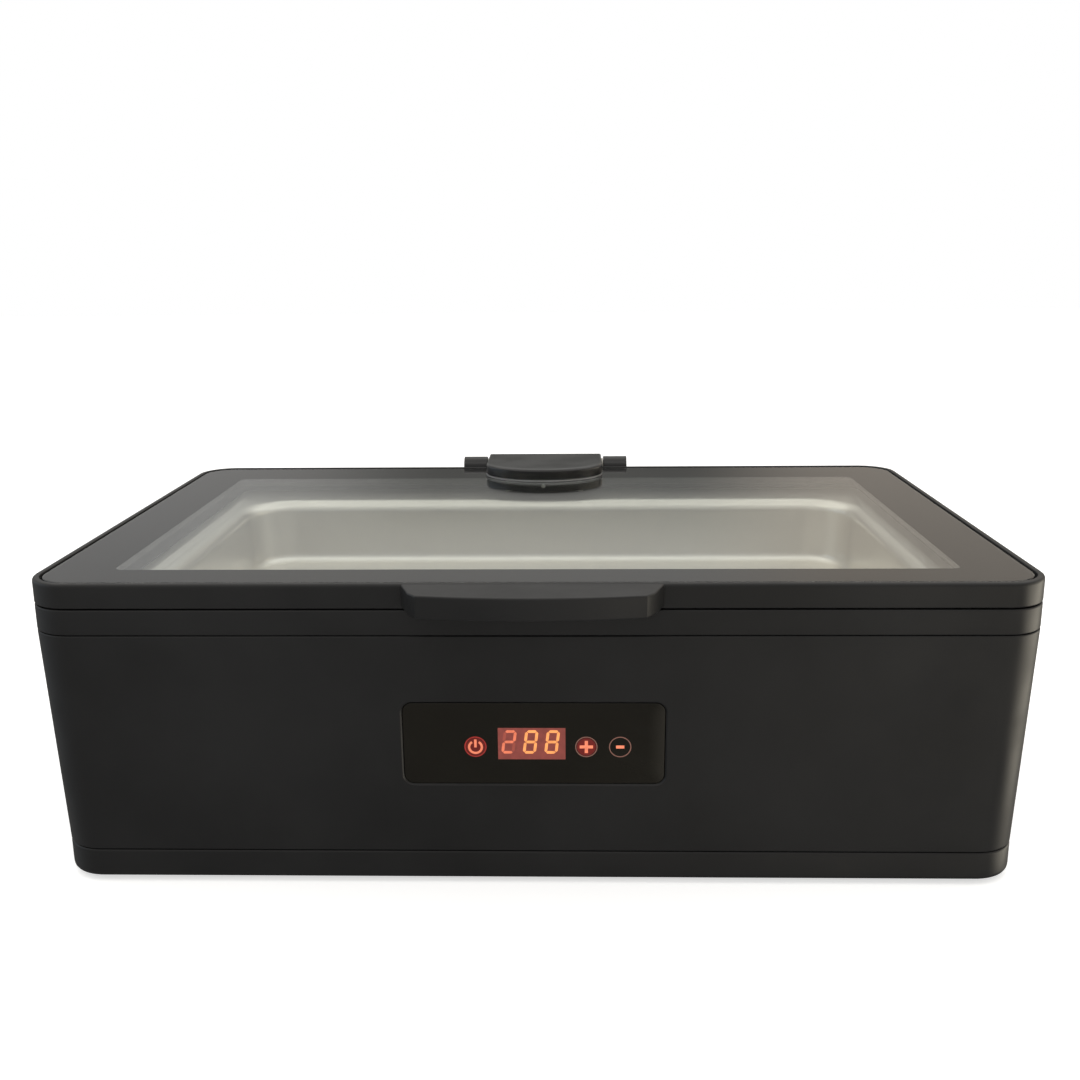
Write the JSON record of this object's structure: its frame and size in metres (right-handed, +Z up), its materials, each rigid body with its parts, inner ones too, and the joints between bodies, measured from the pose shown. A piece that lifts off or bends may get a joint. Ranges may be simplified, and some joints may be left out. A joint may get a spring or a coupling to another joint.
{
  "type": "hot stone heater",
  "caption": "Tabletop hot stone warming tank: black casing, stainless pan, hinged glass lid, front touch panel with a temperature display, rear mains inlet.",
  "frame": {"origin": "centre of the footprint box on the ground plane, under the feet", "axes": "+X to the operator's right along the long side, -Y towards the operator and the handle, +Z up"},
  "size_m": [0.56, 0.3958, 0.1895],
  "materials": {
    "casing_black": "satin moulded ABS with a very fine grain",
    "lid_black": "satin moulded ABS, slightly smoother than the casing",
    "grey_silicone": "matt silicone",
    "pad_silicone": "light grey silicone pad between the glass and the hinge",
    "black_rubber": "matt black rubber",
    "satin_stainless": "pressed stainless steel, satin with fine drawing lines",
    "heater_aluminium": "milled aluminium plate",
    "element_sheath": "heat-darkened steel sheath",
    "ceramic_fibre": "matt fibre blanket",
    "shield_sheet": "rolled sheet, satin",
    "phenolic_brown": "dark phenolic with a metal cap",
    "panel_gloss": "piano-black touch panel",
    "display_red": "smoked red window of a seven-segment display",
    "indicator_red": "lit red segments and touch symbols",
    "circuit_green": "green solder mask",
    "relay_blue": "moulded case",
    "transformer_steel": "varnished laminations and winding",
    "terminal_green": "moulded nylon",
    "inlet_black": "moulded nylon",
    "inlet_brass": "bright stamped blade",
    "touch_spring": "plated spring disc",
    "lead_black": "matt insulation",
    "lead_white": "matt heat-proof sleeve",
    "lead_grey": "matt insulation",
    "lid_glass": "clear tempered float glass",
    "glass_print": "black ceramic print fired on the back of the glass",
    "hinge_gloss": "gloss black",
    "clamp_black": "satin black plate",
    "pin_steel": "ground steel",
    "zinc_screw": "zinc-plated steel",
    "washer_nylon": "natural nylon"
  },
  "bodies": {
    "casing": {"base_tray": "casing_black", "body_shell": "casing_black", "top_ring": "casing_black", "pan_gasket": "grey_silicone", "stone_pan": "satin_stainless", "heater_plate": "heater_aluminium", "heating_element": "element_sheath", "insulation_pad": "ceramic_fibre", "heat_shield": "shield_sheet", "temperature_probe": "satin_stainless", "thermal_cutout": "phenolic_brown", "control_panel": "panel_gloss", "display_module": "display_red", "control_board": "circuit_green", "power_board": "circuit_green", "relay": "relay_blue", "transformer": "transformer_steel", "terminal_block": "terminal_green", "inlet_socket": "inlet_black", "mains_lead": "lead_black", "heater_lead": "lead_white", "panel_lead": "lead_grey", "hinge_bracket": "hinge_gloss", "hinge_pin": "pin_steel", "foot_fl": "black_rubber", "base_screw_fl": "zinc_screw", "shield_post_fl": "zinc_screw", "foot_fr": "black_rubber", "base_screw_fr": "zinc_screw", "shield_post_fr": "zinc_screw", "foot_bl": "black_rubber", "base_screw_bl": "zinc_screw", "shield_post_bl": "zinc_screw", "foot_br": "black_rubber", "base_screw_br": "zinc_screw", "shield_post_br": "zinc_screw", "touch_pad_power": "touch_spring", "touch_pad_plus": "touch_spring", "touch_pad_minus": "touch_spring", "inlet_pin_line": "inlet_brass", "inlet_pin_neutral": "inlet_brass", "inlet_pin_earth": "inlet_brass", "inlet_screw_l": "zinc_screw", "bracket_screw_l": "zinc_screw", "hinge_washer_l": "washer_nylon", "inlet_screw_r": "zinc_screw", "bracket_screw_r": "zinc_screw", "hinge_washer_r": "washer_nylon"},
    "lid": {"lid_frame": "lid_black", "lid_glass": "lid_glass", "lid_seal": "grey_silicone", "lid_handle": "lid_black", "handle_screw_l": "zinc_screw", "handle_screw_r": "zinc_screw", "hinge_cap": "hinge_gloss", "hinge_pad": "pad_silicone", "hinge_clamp": "clamp_black", "clamp_screw_l": "zinc_screw", "clamp_screw_c": "zinc_screw", "clamp_screw_r": "zinc_screw"}
  },
  "joints": [
    {"name": "lid_hinge", "type": "hinge", "parent": "casing", "child": "lid", "pos_m": [0, 0.1889, 0.178], "axis": [-1, 0, 0], "range_deg": [0, 95]}
  ]
}
